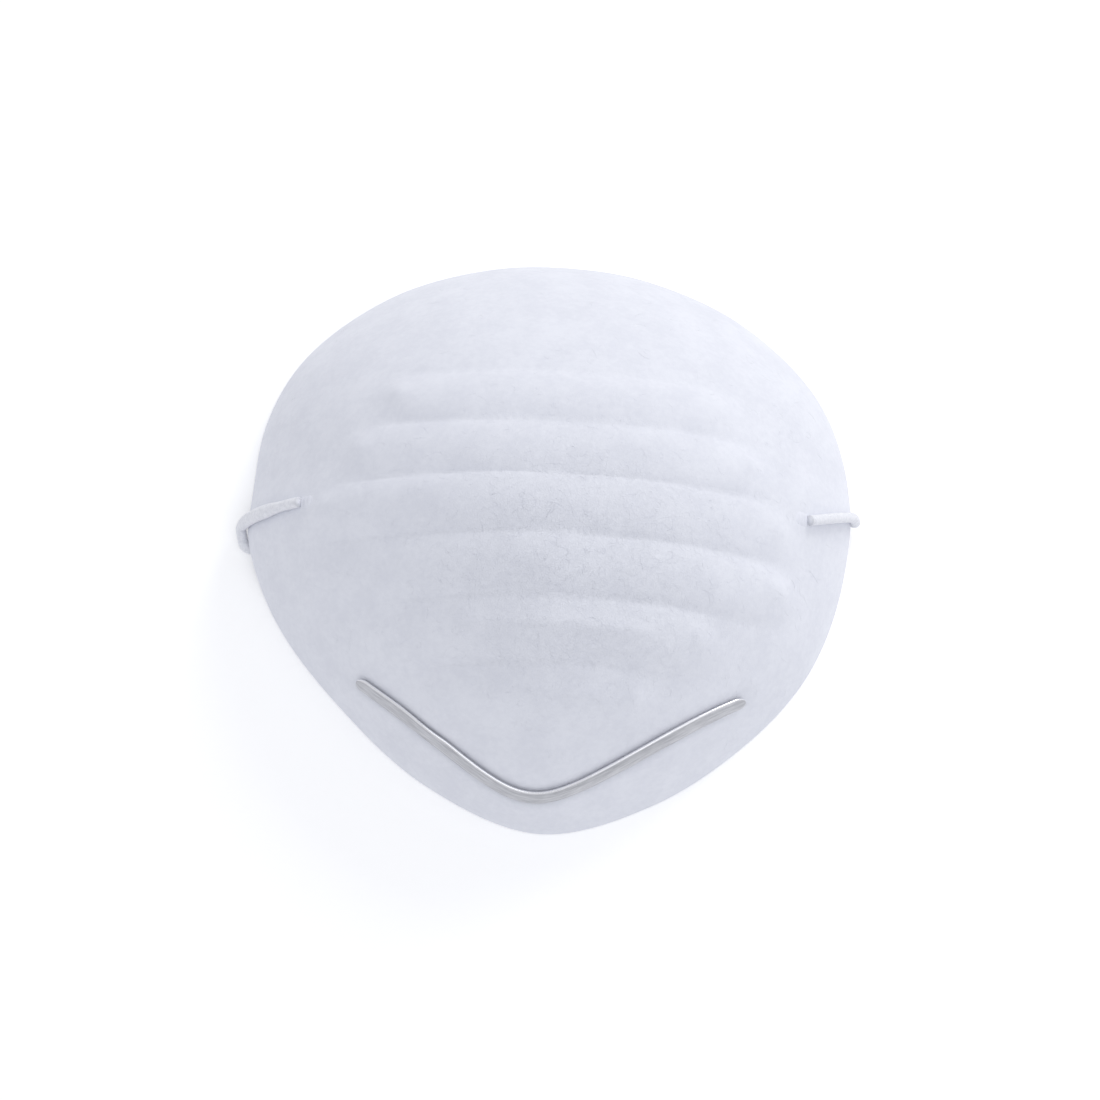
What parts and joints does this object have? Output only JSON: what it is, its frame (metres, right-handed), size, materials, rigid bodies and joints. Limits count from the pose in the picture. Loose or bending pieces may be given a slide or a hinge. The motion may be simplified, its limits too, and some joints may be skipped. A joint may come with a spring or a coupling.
{
  "type": "disposable dust mask",
  "caption": "Cup-shaped disposable dust mask with moulded cross ribs, a bendable aluminium nose strip and an elastic head strap.",
  "frame": {"origin": "middle of the cup's box, within 0.3 mm, on the plane that the rim rests on", "axes": "+Z out of the front of the cup, -Y towards the nose end, +Y towards the chin end, X from cheek to cheek"},
  "size_m": [0.1348, 0.13, 0.0466],
  "materials": {
    "cover": "matt needle-punched non-woven",
    "filter": "matt melt-blown web",
    "inner": "smooth moulded non-woven",
    "strip": "rolled, satin",
    "elastic": "braided elastic"
  },
  "bodies": {
    "cup": {"outer_cover": "cover", "filter_layer": "filter", "inner_shell": "inner", "nose_strip": "strip", "strap_weld_left": "elastic", "strap_weld_right": "elastic", "strap_end_left": "elastic", "strap_end_right": "elastic"},
    "strap": {"head_strap": "elastic"}
  },
  "joints": [
    {"name": "strap_swing", "type": "hinge", "parent": "cup", "child": "strap", "pos_m": [-0.0615, -0.007, 0.00135], "axis": [0.9916, 0.129, 0], "range_deg": [-150, 0]}
  ]
}
